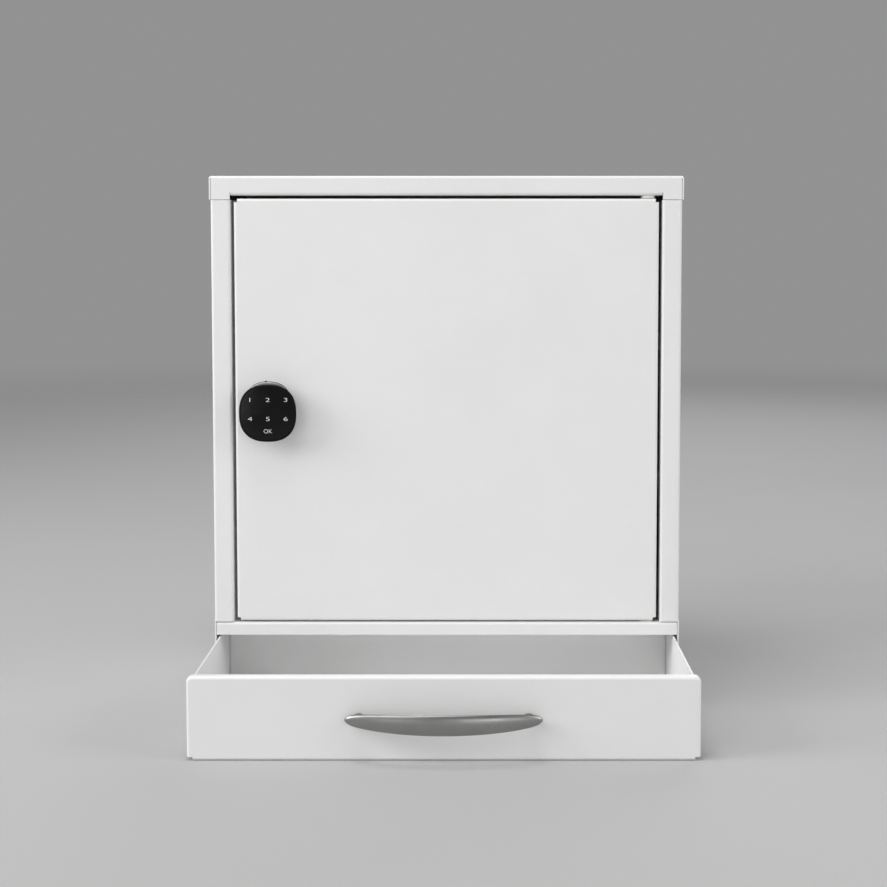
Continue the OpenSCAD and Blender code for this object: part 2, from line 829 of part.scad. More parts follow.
module lock_spindle() {
  color("Silver") difference() {
    union() {
      rod_y(lock_x, lock_z, spindle_d, spindle_front, cam_y);
      translate([lock_x - spindle_square / 2, cam_y - eps, lock_z - spindle_square / 2])
        cube([spindle_square, cam_t + eps, spindle_square]);
    }
    rod_y(lock_x, lock_z, cam_screw_d, cam_y - cam_screw_l - hole_spare, cam_y + cam_t + eps);
  }
}

// Flat cam, drawn hanging down from the spindle as it does when the door is unlocked
module lock_cam() {
  tip_r = cam_w / 2;
  color("Silver") difference() {
    union() {
      rod_y(lock_x, lock_z, cam_w, cam_y, cam_y + cam_t);
      translate([lock_x - cam_w / 2, cam_y, lock_z - cam_reach + tip_r])
        cube([cam_w, cam_t, cam_reach - tip_r]);
      rod_y(lock_x, lock_z - cam_reach + tip_r, cam_w, cam_y, cam_y + cam_t);
    }
    translate([lock_x - spindle_square / 2, cam_y - eps, lock_z - spindle_square / 2])
      cube([spindle_square, cam_t + 2 * eps, spindle_square]);
  }
}

// Cross slot in a screw head of diameter d and height h, whose outer face is at y
module cross_slot(x, y, z, d, h) {
  for (turn = [0, 90])
    translate([x, y, z]) rotate([0, turn, 0]) cube([d * slot_share, h, d * slot_share / 5], center = true);
}

module cam_screw() {
  y0 = cam_y + cam_t;
  y1 = y0 + washer_t + cam_screw_head_h;
  color("Silver") difference() {
    union() {
      rod_y(lock_x, lock_z, cam_screw_d, cam_y - cam_screw_l, y0);
      rod_y(lock_x, lock_z, washer_d, y0, y0 + washer_t);
      rod_y(lock_x, lock_z, cam_screw_head_d, y0 + washer_t, y1);
    }
    cross_slot(lock_x, y1, lock_z, cam_screw_head_d, cam_screw_head_h);
  }
}

// ---- Drawer ----

module drawer_tray() {
  y0 = drawer_face + sheet;
  x_mid = drawer_x - half;
  color("WhiteSmoke") {
    // Bottom and sides
    along_y(y0 + relief, drawer_rear - relief)
      folded([[-x_mid, drawer_z1], [-x_mid, drawer_z0 + half],
              [x_mid, drawer_z0 + half], [x_mid, drawer_z1]]);
    along_y(y0, drawer_rear)
      translate([relief - drawer_x, drawer_z0]) square([2 * (drawer_x - relief), sheet]);
    // Sides with the tabs for the front and the back
    for (side = [0, 1]) mirror([side, 0, 0]) {
      along_z(drawer_z0 + relief, drawer_z1)
        folded([[drawer_tab - drawer_x, y0 + half], [-x_mid, y0 + half],
                [-x_mid, drawer_rear - half], [drawer_tab - drawer_x, drawer_rear - half]]);
      // Stop tab that meets the rail
      along_x(-drawer_x, sheet - drawer_x)
        rounded_rect(stop_y, drawer_z1 - eps, stop_y + stop_l, drawer_z1 + stop_rise,
          [0, 0, stop_round, stop_round]);
    }
  }
}

module drawer_back() {
  x_back = drawer_x - sheet - drawer_seam;
  y_mid = drawer_rear - sheet - half;
  z_foot = drawer_z0 + sheet + half;
  color("WhiteSmoke") along_x(-x_back, x_back)
    folded([[y_mid - drawer_tab, z_foot], [y_mid, z_foot], [y_mid, drawer_z1]]);
}

// Pan-shaped front: its upper corners are drawn round, its lower ones are open
module drawer_front() {
  y_mid = drawer_face + half;
  y_edge = drawer_face + front_fold;
  x_mid = x_side - half;
  x_round = x_side - front_corner_r;
  z_round = front_z1 - front_corner_r;
  color("WhiteSmoke") difference() {
    union() {
      along_z(front_z0 + relief, z_round)
        folded([[-x_mid, y_edge], [-x_mid, y_mid], [x_mid, y_mid], [x_mid, y_edge]]);
      along_x(-x_round, x_round)
        folded([[y_edge, front_z0 + half], [y_mid, front_z0 + half], [y_mid, front_z1 - half],
                [y_edge, front_z1 - half]]);
      along_y(drawer_face, drawer_face + sheet)
        translate([bend_out - x_side, front_z0 + relief])
          square([2 * (x_side - bend_out), z_round - front_z0 - relief]);
      for (side = [0, 1]) mirror([side, 0, 0])
        translate([x_round, drawer_face, z_round]) rotate([-90, -90, 0])
          rotate_extrude(angle = 90)
            folded([[0, half], [front_corner_r - half, half], [front_corner_r - half, front_fold]]);
    }
    for (side = [-1, 1])
      rod_y(side * handle_pitch / 2, handle_z, handle_screw_d + 2 * run_clear,
            drawer_face - eps, drawer_face + sheet + eps);
  }
}

// Leaf-shaped front view of the handle
function handle_leaf() = [
  for (i = [0:outline_steps - 1])
    let (c = cos((i + 0.5) * outline_turn), s = sin((i + 0.5) * outline_turn))
      [handle_l / 2 * c, handle_w / 2 * sign(s) * pow(abs(s), handle_leaf_power)]
];

// Bowed bar with a crowned face, cut to a leaf, on two oval feet with screw holes
module drawer_handle() {
  rise = handle_out - handle_tip;
  bow_r = (pow(handle_l / 2, 2) + pow(rise, 2)) / (2 * rise);
  half_turn = asin(handle_l / 2 / bow_r) + 1;
  y_centre = drawer_face - handle_out + bow_r;
  y_foot = y_centre - sqrt(pow(bow_r - handle_t / 2, 2) - pow(handle_pitch / 2, 2));
  foot_round = foot_h / 2 - push_clear;
  color("DarkGray") difference() {
    union() {
      intersection() {
        translate([0, y_centre, handle_z]) rotate([0, 0, -90 - half_turn])
          rotate_extrude(angle = 2 * half_turn, $fn = 180) intersection() {
            translate([bow_r - handle_t, -handle_w / 2]) square([handle_t, handle_w]);
            translate([bow_r - handle_crown_r, 0]) circle(handle_crown_r);
          }
        along_y(drawer_face - handle_out - eps, drawer_face)
          translate([0, handle_z]) polygon(handle_leaf());
      }
      for (side = [-1, 1])
        along_y(y_foot, drawer_face) translate([side * (handle_pitch / 2 + foot_shift), handle_z])
          rounded_rect(-foot_w / 2, -foot_h / 2, foot_w / 2, foot_h / 2, foot_round * [1, 1, 1, 1]);
    }
    for (side = [-1, 1])
      rod_y(side * handle_pitch / 2, handle_z, handle_screw_d,
            drawer_face - handle_screw_l - hole_spare, drawer_face + eps);
  }
}

module handle_screws() {
  y0 = drawer_face + sheet;
  y1 = y0 + handle_screw_head_h;
  color("Silver") for (side = [-1, 1]) difference() {
    union() {
      rod_y(side * handle_pitch / 2, handle_z, handle_screw_d, drawer_face - handle_screw_l, y0);
      rod_y(side * handle_pitch / 2, handle_z, handle_screw_head_d, y0, y1);
    }
    cross_slot(side * handle_pitch / 2, y1, handle_z, handle_screw_head_d, handle_screw_head_h);
  }
}

side_panel_left();
side_panel_right();
top_cap();
back_panel();
floor_panel();
bottom_panel();
drawer_runner_left();
drawer_runner_right();
shelf_strip_left_front();
shelf_strip_left_rear();
shelf_strip_right_front();
shelf_strip_right_rear();
shelf_lower();
shelf_upper();
shelf_clips();
door_buffers();
hinge_bush_top();
hinge_bush_bottom();
door_panel();
hinge_pin_top();
hinge_pin_bottom();
hinge_clip();
lock_ring();
lock_barrel();
lock_nut();
knob_housing();
knob_face();
circuit_board();
coin_cells();
clutch_motor();
lock_spindle();
lock_cam();
cam_screw();
drawer_tray();
drawer_back();
drawer_front();
drawer_handle();
handle_screws();
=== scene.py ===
"""Looks of the lockable wall medicine cabinet: powder coated sheet steel, a gloss keypad knob
and a satin nickel pull."""
import json
import math

import bmesh
import bpy
from mathutils import Matrix, Vector


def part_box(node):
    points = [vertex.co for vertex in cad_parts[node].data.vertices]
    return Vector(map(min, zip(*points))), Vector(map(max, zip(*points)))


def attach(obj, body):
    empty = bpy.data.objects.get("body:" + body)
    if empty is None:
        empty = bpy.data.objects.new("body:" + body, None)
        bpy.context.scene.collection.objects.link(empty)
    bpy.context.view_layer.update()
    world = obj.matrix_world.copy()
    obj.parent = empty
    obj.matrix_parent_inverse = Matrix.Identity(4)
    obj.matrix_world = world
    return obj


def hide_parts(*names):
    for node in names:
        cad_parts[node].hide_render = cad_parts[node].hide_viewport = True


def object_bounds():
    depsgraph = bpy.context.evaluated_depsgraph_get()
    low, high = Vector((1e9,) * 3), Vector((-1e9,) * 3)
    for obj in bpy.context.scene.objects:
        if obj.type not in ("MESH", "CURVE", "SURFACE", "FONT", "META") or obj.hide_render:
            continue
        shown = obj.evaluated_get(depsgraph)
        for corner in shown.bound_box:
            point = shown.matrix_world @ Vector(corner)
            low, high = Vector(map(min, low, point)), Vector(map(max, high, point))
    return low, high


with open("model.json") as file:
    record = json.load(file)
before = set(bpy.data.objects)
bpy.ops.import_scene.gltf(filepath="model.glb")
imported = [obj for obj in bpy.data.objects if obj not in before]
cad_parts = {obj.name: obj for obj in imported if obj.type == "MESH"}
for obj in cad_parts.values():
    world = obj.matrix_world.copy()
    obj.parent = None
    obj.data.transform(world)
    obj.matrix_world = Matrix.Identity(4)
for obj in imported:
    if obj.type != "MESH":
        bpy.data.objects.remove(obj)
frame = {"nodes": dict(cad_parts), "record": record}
cad_low, cad_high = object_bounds()
nodes = frame["nodes"]
slot_of = {s["node"]: s["material_slot"] for s in frame["record"]["subparts"]}
MM = 0.001


# ---------------------------------------------------------------- camera
EYE = Vector((0.02436, -1.5591, 0.1325))
LOOK_DOWN = math.radians(3.76)
LOOK_LEFT = math.radians(0.02)
LENS = 64.85                           # focal length on a 36 mm wide sensor
SHIFT_X, SHIFT_Y = -0.0350, -0.10      # shares of the frame

camera_data = bpy.data.cameras.new("camera")
camera_data.sensor_width = 36.0
camera_data.lens = LENS
camera_data.shift_x, camera_data.shift_y = SHIFT_X, SHIFT_Y
camera_data.clip_start = 0.05
camera_data.clip_end = 100
camera = bpy.data.objects.new("camera", camera_data)
camera.location = EYE
camera.rotation_euler = (math.pi / 2 - LOOK_DOWN, 0, LOOK_LEFT)
bpy.context.scene.collection.objects.link(camera)
bpy.context.scene.camera = camera
bpy.context.scene.view_settings.view_transform = "Standard"


# ---------------------------------------------------------------- shader helpers
def add(tree, kind, **values):
    """A node of that kind. A keyword is an input's name, with _ for a space, or a property of the node."""
    node = tree.nodes.new(kind)
    for name, value in values.items():
        if hasattr(node, name):
            setattr(node, name, value)
        else:
            node.inputs[name.replace("_", " ")].default_value = value
    return node


def maths(tree, operation, a, b=None, c=None):
    """A Math node on sockets or numbers, giving its output socket."""
    node = tree.nodes.new("ShaderNodeMath")
    node.operation = operation
    for socket, value in zip(node.inputs, (a, b, c)):
        if value is None:
            continue
        if isinstance(value, (int, float)):
            socket.default_value = value
        else:
            tree.links.new(value, socket)
    return node.outputs[0]


def spread(tree, value, low, high):
    """A 0 to 1 value laid out between low and high, which may be sockets."""
    node = tree.nodes.new("ShaderNodeMapRange")
    for socket, v in zip((node.inputs[0], node.inputs[3], node.inputs[4]), (value, low, high)):
        if isinstance(v, (int, float)):
            socket.default_value = v
        else:
            tree.links.new(v, socket)
    return node.outputs[0]


def blend_colour(tree, share, a, b, way="MIX"):
    """A colour between a and b, each a socket or a colour."""
    node = tree.nodes.new("ShaderNodeMix")
    node.data_type = "RGBA"
    node.blend_type = way
    for socket, v in zip((node.inputs[0], node.inputs[6], node.inputs[7]), (share, a, b)):
        if isinstance(v, (int, float)):
            socket.default_value = v
        elif isinstance(v, tuple):
            socket.default_value = (*v, 1)
        else:
            tree.links.new(v, socket)
    return node.outputs[2]


def new_group(name, inputs, outputs):
    """An empty shader node group with named sockets: (tree, its input node, its output node)."""
    tree = bpy.data.node_groups.new(name, "ShaderNodeTree")
    kinds = {"number": "NodeSocketFloat", "colour": "NodeSocketColor", "vector": "NodeSocketVector"}
    for label, kind, value in inputs:
        socket = tree.interface.new_socket(label, in_out="INPUT", socket_type=kinds[kind])
        if value is not None:
            socket.default_value = (*value, 1) if kind == "colour" else value
    for label, kind in outputs:
        tree.interface.new_socket(label, in_out="OUTPUT", socket_type=kinds[kind])
    return tree, tree.nodes.new("NodeGroupInput"), tree.nodes.new("NodeGroupOutput")


# ---------------------------------------------------------------- shared effects
def make_peel_group():
    """The soft orange peel of baked powder, with a finer grit over it."""
    tree, given, gives = new_group(
        "coating_peel",
        [("Vector", "vector", None), ("Peel Width", "number", 0.0011), ("Grit", "number", 0.25)],
        [("Height", "number"), ("Mask", "number")],
    )
    per_metre = maths(tree, "DIVIDE", 1.0, given.outputs["Peel Width"])
    peel = add(tree, "ShaderNodeTexNoise", Detail=1.5, Roughness=0.45)
    grit = add(tree, "ShaderNodeTexNoise", Detail=1.0)
    tree.links.new(given.outputs["Vector"], peel.inputs["Vector"])
    tree.links.new(given.outputs["Vector"], grit.inputs["Vector"])
    tree.links.new(per_metre, peel.inputs["Scale"])
    tree.links.new(maths(tree, "MULTIPLY", per_metre, 3.7), grit.inputs["Scale"])
    fine = maths(tree, "MULTIPLY", grit.outputs["Fac"], given.outputs["Grit"])
    tree.links.new(maths(tree, "ADD", peel.outputs["Fac"], fine), gives.inputs["Height"])
    tree.links.new(peel.outputs["Fac"], gives.inputs["Mask"])
    return tree


def make_handled_group():
    """Broad, faint changes of tone and gloss that handling and cleaning leave on any finish."""
    tree, given, gives = new_group(
        "handled_surface",
        [
            ("Vector", "vector", None),
            ("Base", "colour", (0.8, 0.8, 0.8)),
            ("Worn", "colour", (0.7, 0.7, 0.7)),
            ("Share", "number", 0.3),
            ("Patch Size", "number", 0.05),
            ("Gloss Low", "number", 0.35),
            ("Gloss High", "number", 0.5),
        ],
        [("Color", "colour"), ("Roughness", "number"), ("Mask", "number")],
    )
    scale = maths(tree, "DIVIDE", 1.0, given.outputs["Patch Size"])
    broad = add(tree, "ShaderNodeTexNoise", Detail=4.0, Roughness=0.6)
    tree.links.new(given.outputs["Vector"], broad.inputs["Vector"])
    tree.links.new(scale, broad.inputs["Scale"])
    ramp = add(tree, "ShaderNodeMapRange", interpolation_type="SMOOTHSTEP", From_Min=0.35, From_Max=0.68)
    tree.links.new(broad.outputs["Fac"], ramp.inputs[0])
    share = maths(tree, "MULTIPLY", ramp.outputs[0], given.outputs["Share"])
    colour = blend_colour(tree, share, given.outputs["Base"], given.outputs["Worn"])
    rough = spread(tree, ramp.outputs[0], given.outputs["Gloss Low"], given.outputs["Gloss High"])
    tree.links.new(colour, gives.inputs["Color"])
    tree.links.new(rough, gives.inputs["Roughness"])
    tree.links.new(ramp.outputs[0], gives.inputs["Mask"])
    return tree


def make_brushed_group():
    """Fine lines left by brushing or turning: noise drawn out along one direction."""
    tree, given, gives = new_group(
        "brushed_lines",
        [
            ("Vector", "vector", None),
            ("Line Width", "number", 0.0002),
            ("Draw Out", "vector", (0.04, 1, 1)),
        ],
        [("Height", "number"), ("Mask", "number")],
    )
    across = tree.nodes.new("ShaderNodeVectorMath")
    across.operation = "MULTIPLY"
    tree.links.new(given.outputs["Vector"], across.inputs[0])
    tree.links.new(given.outputs["Draw Out"], across.inputs[1])
    lines = add(tree, "ShaderNodeTexNoise", Detail=2.0, Roughness=0.6)
    tree.links.new(across.outputs[0], lines.inputs["Vector"])
    tree.links.new(maths(tree, "DIVIDE", 1.0, given.outputs["Line Width"]), lines.inputs["Scale"])
    ramp = add(tree, "ShaderNodeMapRange", From_Min=0.3, From_Max=0.7)
    tree.links.new(lines.outputs["Fac"], ramp.inputs[0])
    tree.links.new(lines.outputs["Fac"], gives.inputs["Height"])
    tree.links.new(ramp.outputs[0], gives.inputs["Mask"])
    return tree


peel_group = make_peel_group()
handled_group = make_handled_group()
brushed_group = make_brushed_group()


def place_group(tree, group, **values):
    """A shared effect in a material. A keyword is an input's name, with a socket, number or colour."""
    node = tree.nodes.new("ShaderNodeGroup")
    node.node_tree = group
    for name, value in values.items():
        label = name.replace("_", " ")
        if isinstance(value, bpy.types.NodeSocket):
            tree.links.new(value, node.inputs[label])
        elif isinstance(value, tuple) and node.inputs[label].type == "RGBA":
            node.inputs[label].default_value = (*value, 1)
        else:
            node.inputs[label].default_value = value
    return node


def new_material(name, **shader_values):
    """A material with a Principled shader: (material, tree, object coordinates, shader)."""
    material = bpy.data.materials.new(name)
    material.use_nodes = True
    tree = material.node_tree
    shader = tree.nodes["Principled BSDF"]
    for label, value in shader_values.items():
        shader.inputs[label.replace("_", " ")].default_value = value
    coords = tree.nodes.new("ShaderNodeTexCoord").outputs["Object"]
    return material, tree, coords, shader


def bump(tree, shader, height, distance, strength):
    """Relief of that height in metres on the shader's normal."""
    node = add(tree, "ShaderNodeBump", Strength=strength, Distance=distance)
    tree.links.new(height, node.inputs["Height"])
    tree.links.new(node.outputs["Normal"], shader.inputs["Normal"])


def feed(tree, shader, colour, roughness):
    """Leads a colour and a roughness that vary over the surface to the shader."""
    tree.links.new(colour, shader.inputs["Base Color"])
    tree.links.new(roughness, shader.inputs["Roughness"])


# ---------------------------------------------------------------- finishes
def make_powder_coat():
    """White baked powder on folded sheet steel: satin, faint peel, a little gloss where hands wipe it."""
    material, tree, at, shader = new_material("white_powder_coat", Specular_IOR_Level=0.5)
    peel = place_group(tree, peel_group, Vector=at, Peel_Width=0.0011, Grit=0.2)
    handled = place_group(
        tree, handled_group, Vector=at, Base=(0.84, 0.84, 0.84), Worn=(0.815, 0.815, 0.81),
        Share=0.8, Patch_Size=0.11, Gloss_Low=0.36, Gloss_High=0.47,
    )
    speck = spread(tree, peel.outputs["Mask"], 0.965, 1.02)
    tint = tree.nodes.new("ShaderNodeCombineColor")
    for channel in range(3):
        tree.links.new(speck, tint.inputs[channel])
    colour = blend_colour(tree, 1.0, handled.outputs["Color"], tint.outputs[0], "MULTIPLY")
    feed(tree, shader, colour, handled.outputs["Roughness"])
    bump(tree, shader, peel.outputs["Height"], 0.00006, 0.6)
    return material


def make_metal(name, base, worn, gloss, line_width, draw_out, patch=0.03, distance=0.00001, share=0.6):
    """Bare or plated metal with fine lines and a mottled gloss."""
    material, tree, at, shader = new_material(name, Metallic=1.0)
    lines = place_group(tree, brushed_group, Vector=at, Line_Width=line_width, Draw_Out=draw_out)
    handled = place_group(
        tree, handled_group, Vector=at, Base=base, Worn=worn,
        Share=share, Patch_Size=patch, Gloss_Low=gloss[0], Gloss_High=gloss[1],
    )
    rough = maths(tree, "MULTIPLY_ADD", lines.outputs["Mask"], 0.07, handled.outputs["Roughness"])
    feed(tree, shader, handled.outputs["Color"], rough)
    bump(tree, shader, lines.outputs["Height"], distance, 0.5)
    return material


def make_zinc():
    """Clear zinc plate: grey with soft crystal patches."""
    material, tree, at, shader = new_material("zinc_plate", Metallic=1.0)
    crystals = add(tree, "ShaderNodeTexVoronoi", Scale=420.0)
    tree.links.new(at, crystals.inputs["Vector"])
    handled = place_group(
        tree, handled_group, Vector=at, Base=(0.62, 0.63, 0.64), Worn=(0.5, 0.51, 0.52),
        Share=0.7, Patch_Size=0.012, Gloss_Low=0.3, Gloss_High=0.46,
    )
    grey = tree.nodes.new("ShaderNodeRGBToBW")
    tree.links.new(crystals.outputs["Color"], grey.inputs[0])
    rough = maths(tree, "MULTIPLY_ADD", grey.outputs[0], 0.12, handled.outputs["Roughness"])
    feed(tree, shader, handled.outputs["Color"], rough)
    bump(tree, shader, grey.outputs[0], 0.000015, 0.4)
    return material


def make_plastic(name, base, worn, gloss, grain_width, grain_height, patch=0.03, share=0.5,
                 grit=0.5, **values):
    """A moulded plastic or rubber: fine grain and a handled gloss."""
    material, tree, at, shader = new_material(name, **values)
    grain = place_group(tree, peel_group, Vector=at, Peel_Width=grain_width, Grit=grit)
    handled = place_group(
        tree, handled_group, Vector=at, Base=base, Worn=worn,
        Share=share, Patch_Size=patch, Gloss_Low=gloss[0], Gloss_High=gloss[1],
    )
    feed(tree, shader, handled.outputs["Color"], handled.outputs["Roughness"])
    bump(tree, shader, grain.outputs["Height"], grain_height, 0.6)
    return material


def make_board():
    """A green circuit board with a network of lighter green traces."""
    material, tree, at, shader = new_material("board_green", Roughness=0.35)
    traces = add(tree, "ShaderNodeTexVoronoi", Scale=500.0, feature="DISTANCE_TO_EDGE")
    tree.links.new(at, traces.inputs["Vector"])
    line = maths(tree, "LESS_THAN", traces.outputs["Distance"], 0.05)
    handled = place_group(
        tree, handled_group, Vector=at, Base=(0.02, 0.16, 0.06), Worn=(0.015, 0.11, 0.045),
        Share=0.8, Patch_Size=0.01, Gloss_Low=0.25, Gloss_High=0.4,
    )
    colour = blend_colour(tree, line, handled.outputs["Color"], (0.05, 0.26, 0.11))
    feed(tree, shader, colour, handled.outputs["Roughness"])
    bump(tree, shader, line, 0.00003, 0.5)
    return material


finishes = {
    "white_powder_coat": make_powder_coat(),
    "zinc_steel": make_zinc(),
    "white_nylon": make_plastic(
        "white_nylon", (0.76, 0.75, 0.72), (0.70, 0.69, 0.65), (0.35, 0.5), 0.0007, 0.00002,
    ),
    "black_rubber": make_plastic(
        "black_rubber", (0.05, 0.05, 0.05), (0.075, 0.073, 0.07), (0.65, 0.8), 0.0005, 0.00004,
    ),
    "black_plastic": make_plastic(
        "black_plastic", (0.008, 0.008, 0.0083), (0.012, 0.012, 0.0125), (0.42, 0.55), 0.0004, 0.00001,
        Specular_IOR_Level=0.2,
    ),
    "touch_glass": make_plastic(
        "touch_glass", (0.004, 0.004, 0.0043), (0.007, 0.007, 0.0077), (0.06, 0.14), 0.004, 0.000002,
        patch=0.018, Specular_IOR_Level=0.22,
    ),
    "satin_ring": make_metal(
        "satin_ring", (0.55, 0.55, 0.56), (0.46, 0.46, 0.47), (0.26, 0.36), 0.00012, (1, 0.05, 1),
    ),
    "circuit_board": make_board(),
    "cell_steel": make_metal(
        "cell_steel", (0.70, 0.70, 0.70), (0.6, 0.6, 0.6), (0.2, 0.32), 0.00015, (0.06, 1, 1), patch=0.008,
    ),
    "satin_nickel": make_metal(
        "satin_nickel", (0.33, 0.33, 0.324), (0.28, 0.28, 0.275), (0.24, 0.34), 0.00018, (0.05, 1, 1),
    ),
}


legend_ink = make_plastic(
    "legend_ink", (0.86, 0.86, 0.87), (0.74, 0.74, 0.75), (0.4, 0.55), 0.0004, 0.000008,
    patch=0.004, share=0.8, grit=0.4,
)
rim_finish = make_plastic(
    "rim_matt_black", (0.003, 0.003, 0.0032), (0.005, 0.005, 0.0052), (0.5, 0.65), 0.0004, 0.00001,
    Specular_IOR_Level=0.12,
)

for name, node in nodes.items():
    finish = finishes[slot_of[name]]
    if not node.material_slots:
        node.data.materials.append(finish)
    for held in node.material_slots:
        held.material = finish


# ---------------------------------------------------------------- mesh helpers
WELD = 1e-7                            # points this near are one
WIDE_WELD = 1e-6                       # the same for the letters and the bow
ROUND_STEPS = 192


def make_object(name, mesh, finish, body, smooth=True):
    """A finished piece at the origin, riding on its body."""
    piece = bpy.data.objects.new(name, mesh)
    bpy.context.scene.collection.objects.link(piece)
    mesh.materials.clear()
    mesh.materials.append(finish)
    for face in mesh.polygons:
        face.use_smooth = smooth
    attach(piece, body)
    return piece


def loft(rings, close_ends=True):
    """A closed mesh through rings of points, each ring the same length. Ends are filled with a fan."""
    mesh = bmesh.new()
    made = [[mesh.verts.new(p) for p in ring] for ring in rings]
    count = len(made[0])
    for a, b in zip(made, made[1:]):
        for i in range(count):
            j = (i + 1) % count
            mesh.faces.new((a[i], a[j], b[j], b[i]))
    if close_ends:
        for ring in (made[0], made[-1]):
            middle = mesh.verts.new(sum((v.co for v in ring), Vector()) / count)
            for i in range(count):
                mesh.faces.new((ring[i], ring[(i + 1) % count], middle))
    bmesh.ops.recalc_face_normals(mesh, faces=mesh.faces)
    return mesh


def join_ends(mesh):
    """Welds a loft whose last ring is its first one again, and turns its faces outwards."""
    bmesh.ops.remove_doubles(mesh, verts=mesh.verts, dist=WELD)
    bmesh.ops.recalc_face_normals(mesh, faces=mesh.faces)


def finish_mesh(mesh, name):
    """The mesh being built as plain mesh data."""
    data = bpy.data.meshes.new(name)
    mesh.to_mesh(data)
    mesh.free()
    return data


def take_in(mesh, data):
    """Adds plain mesh data to the mesh being built, and removes it."""
    mesh.from_mesh(data)
    bpy.data.meshes.remove(data)


def oval(x, y, z, wide, tall, steps):
    """Points of an upright oval with those half widths, all round."""
    turns = (2 * math.pi * i / steps for i in range(steps))
    return [Vector((x + wide * math.cos(a), y, z + tall * math.sin(a))) for a in turns]


def squircle(half, exponent, steps=ROUND_STEPS):
    """Points of a rounded square of that half width, all round."""
    points = []
    for i in range(steps):
        turn = 2 * math.pi * i / steps
        c, s = math.cos(turn), math.sin(turn)
        reach = (abs(c) ** exponent + abs(s) ** exponent) ** (-1 / exponent)
        points.append((half * reach * c, half * reach * s))
    return points


# ---------------------------------------------------------------- keypad knob
house_low, house_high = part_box("knob_housing")
face_low, face_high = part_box("knob_face")
ring_low, ring_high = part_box("lock_ring")
KNOB_X = (house_low.x + house_high.x) / 2
KNOB_Z = (house_low.z + house_high.z) / 2
FACE_WIDER = 0.7 * MM                  # the face is wider than its CAD node by this on each side
HOUSE_INSET = 0.4 * MM                 # the housing's front edge inside the face's
HOUSE_TAPER = 0.9 * MM                 # the housing's back edge inside its CAD node's
FACE_HALF = (face_high.x - face_low.x) / 2 + FACE_WIDER
HOUSE_FRONT_HALF = FACE_HALF - HOUSE_INSET
HOUSE_BACK_HALF = (house_high.x - house_low.x) / 2 - HOUSE_TAPER
KNOB_SHAPE = 2.45                      # exponent of the rounded square
KNOB_WALL = 2 * MM
HOUSE_RIM = 0.5 * MM                   # rounding of the housing's back edge
RIM_ROLL = 1.6 * MM                    # width of the face's rolled edge
RIM_DEPTH = 1.2 * MM                   # and how far back it rolls
CROWN = 0.22 * MM                      # rise of the face's middle over its edge
FACE_Y = face_low.y
FACE_BACK = face_high.y
KNOB_BACK = house_high.y


def knob_ring(half, y):
    """The knob's outline at that half width and depth."""
    return [Vector((KNOB_X + x, y, KNOB_Z + z)) for x, z in squircle(half, KNOB_SHAPE)]


def make_knob_housing():
    """The moulded shell behind the touch face: open at the back, drawn in there, with softened rims."""
    rim = HOUSE_RIM
    depth = KNOB_BACK - FACE_BACK
    outside = [
        knob_ring(HOUSE_BACK_HALF - KNOB_WALL, KNOB_BACK),
        knob_ring(HOUSE_BACK_HALF - rim, KNOB_BACK),
    ]
    for k in range(1, 6):
        turn = k / 5 * math.pi / 2
        outside.append(knob_ring(
            HOUSE_BACK_HALF - rim * (1 - math.sin(turn)), KNOB_BACK - rim * (1 - math.cos(turn))))
    for k in range(1, 9):
        share = k / 9
        half = HOUSE_BACK_HALF + (HOUSE_FRONT_HALF - HOUSE_BACK_HALF) * share ** 0.8
        outside.append(knob_ring(half, KNOB_BACK - rim - (depth - rim) * share))
    outside += [
        knob_ring(HOUSE_FRONT_HALF, FACE_BACK + 0.15 * MM),
        knob_ring(HOUSE_FRONT_HALF - 0.2 * MM, FACE_BACK),
        knob_ring(HOUSE_FRONT_HALF - KNOB_WALL, FACE_BACK),
        outside[0],
    ]
    mesh = loft(outside, close_ends=False)
    join_ends(mesh)
    piece = make_object(
        "keypad_housing", finish_mesh(mesh, "keypad_housing"), finishes["black_plastic"],
        "lock_knob",
    )
    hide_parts("knob_housing")


def make_knob_face():
    """The gloss touch face, slightly crowned, inside a matt rolled rim."""
    rings = [
        knob_ring(FACE_HALF - 0.35 * MM, FACE_BACK),
        knob_ring(FACE_HALF - 0.1 * MM, FACE_BACK - 0.12 * MM),
    ]
    edge_y = FACE_Y + CROWN
    for k in range(9):
        turn = k / 8 * math.pi / 2
        rings.append(knob_ring(
            FACE_HALF - RIM_ROLL * (1 - math.cos(turn)), edge_y + RIM_DEPTH * (1 - math.sin(turn))))
    rim_rings = len(rings)
    for k in range(1, 13):
        share = k / 12
        half = (FACE_HALF - RIM_ROLL) * (1 - share)
        rings.append(knob_ring(max(half, 0.4 * MM), edge_y - CROWN * (1 - (1 - share) ** 2)))
    data = finish_mesh(loft(rings), "keypad_face")
    piece = make_object("keypad_face", data, finishes["touch_glass"], "lock_knob")
    data.materials.append(rim_finish)
    steps = len(rings[0])
    for face in data.polygons:
        on_rim = face.index < steps * (rim_rings - 1)
        is_fan = face.index >= steps * (len(rings) - 1)
        at_back = is_fan and face.center.y > edge_y + 0.5 * MM
        face.material_index = int(on_rim or at_back)
    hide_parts("knob_face")


RING_WIDE = 20.6 * MM                  # half width of the base plate, narrower than its CAD ring
RING_OVER = 25.2 * MM                  # its reach over the knob's axis
RING_SHIFT = -1.4 * MM                 # its middle from the knob's axis
RING_BORE = 12 * MM                    # radius of the bore for the spindle barrel
RING_SOFT = 0.5 * MM                   # rounding of its front edge
SHADOW_LIP_OUT = 0.45 * MM                   # reach of the dark lip outside the plate; the lip is painted shade for the plate's shadow line on the door
SHADOW_LIP_IN = 2 * MM                       # the dark lip's inner edge inside the plate
SHADOW_LIP_THICK = 0.7 * MM
MARK_LEFT = 3.2 * MM                   # the mark's middle left of the knob's axis
MARK_RISE = 0.35 * MM                  # and above the plate's reach
MARK_STEPS = 24


